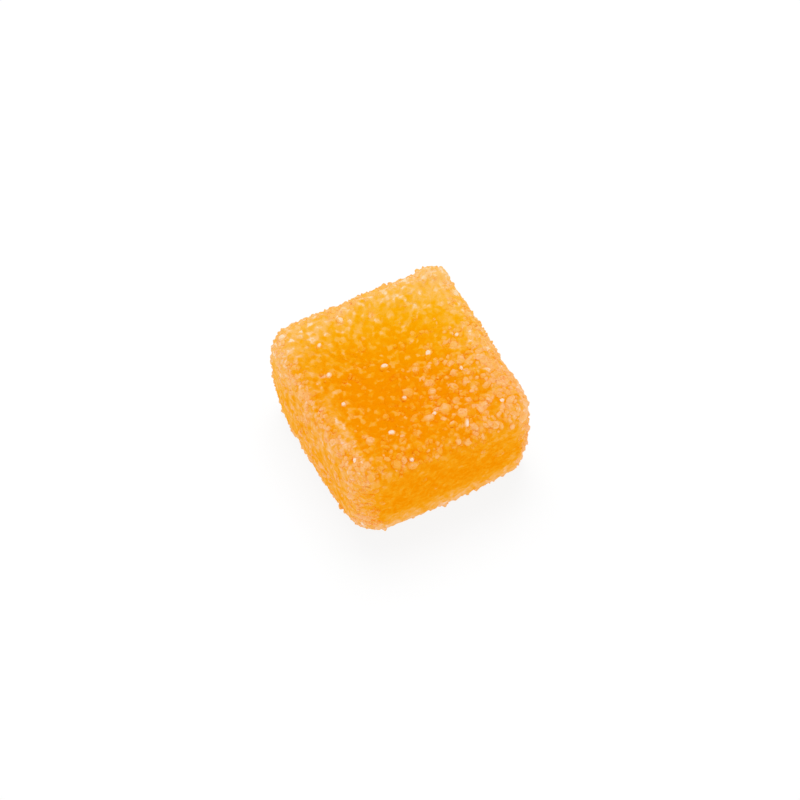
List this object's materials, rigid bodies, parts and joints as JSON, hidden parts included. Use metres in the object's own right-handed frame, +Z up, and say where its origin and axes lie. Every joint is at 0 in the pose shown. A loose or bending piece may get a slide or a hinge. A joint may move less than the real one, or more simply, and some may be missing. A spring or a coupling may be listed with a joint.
{
  "type": "fruit jelly candy",
  "caption": "Nearly square moulded fruit jelly with soft rounded edges, a shallow dished top and a coat of coarse sugar.",
  "frame": {"origin": "middle of the base, on the surface that the candy rests on", "axes": "+Z up through the height, which is the shortest extent; +Y to the back; the two rows of walls run along X and Y"},
  "size_m": [0.0242, 0.0253, 0.0147],
  "materials": {
    "sugared_jelly": "translucent orange jelly under a coat of clear sugar crystals"
  },
  "bodies": {
    "root": {"fruit_jelly": "sugared_jelly"}
  },
  "joints": []
}
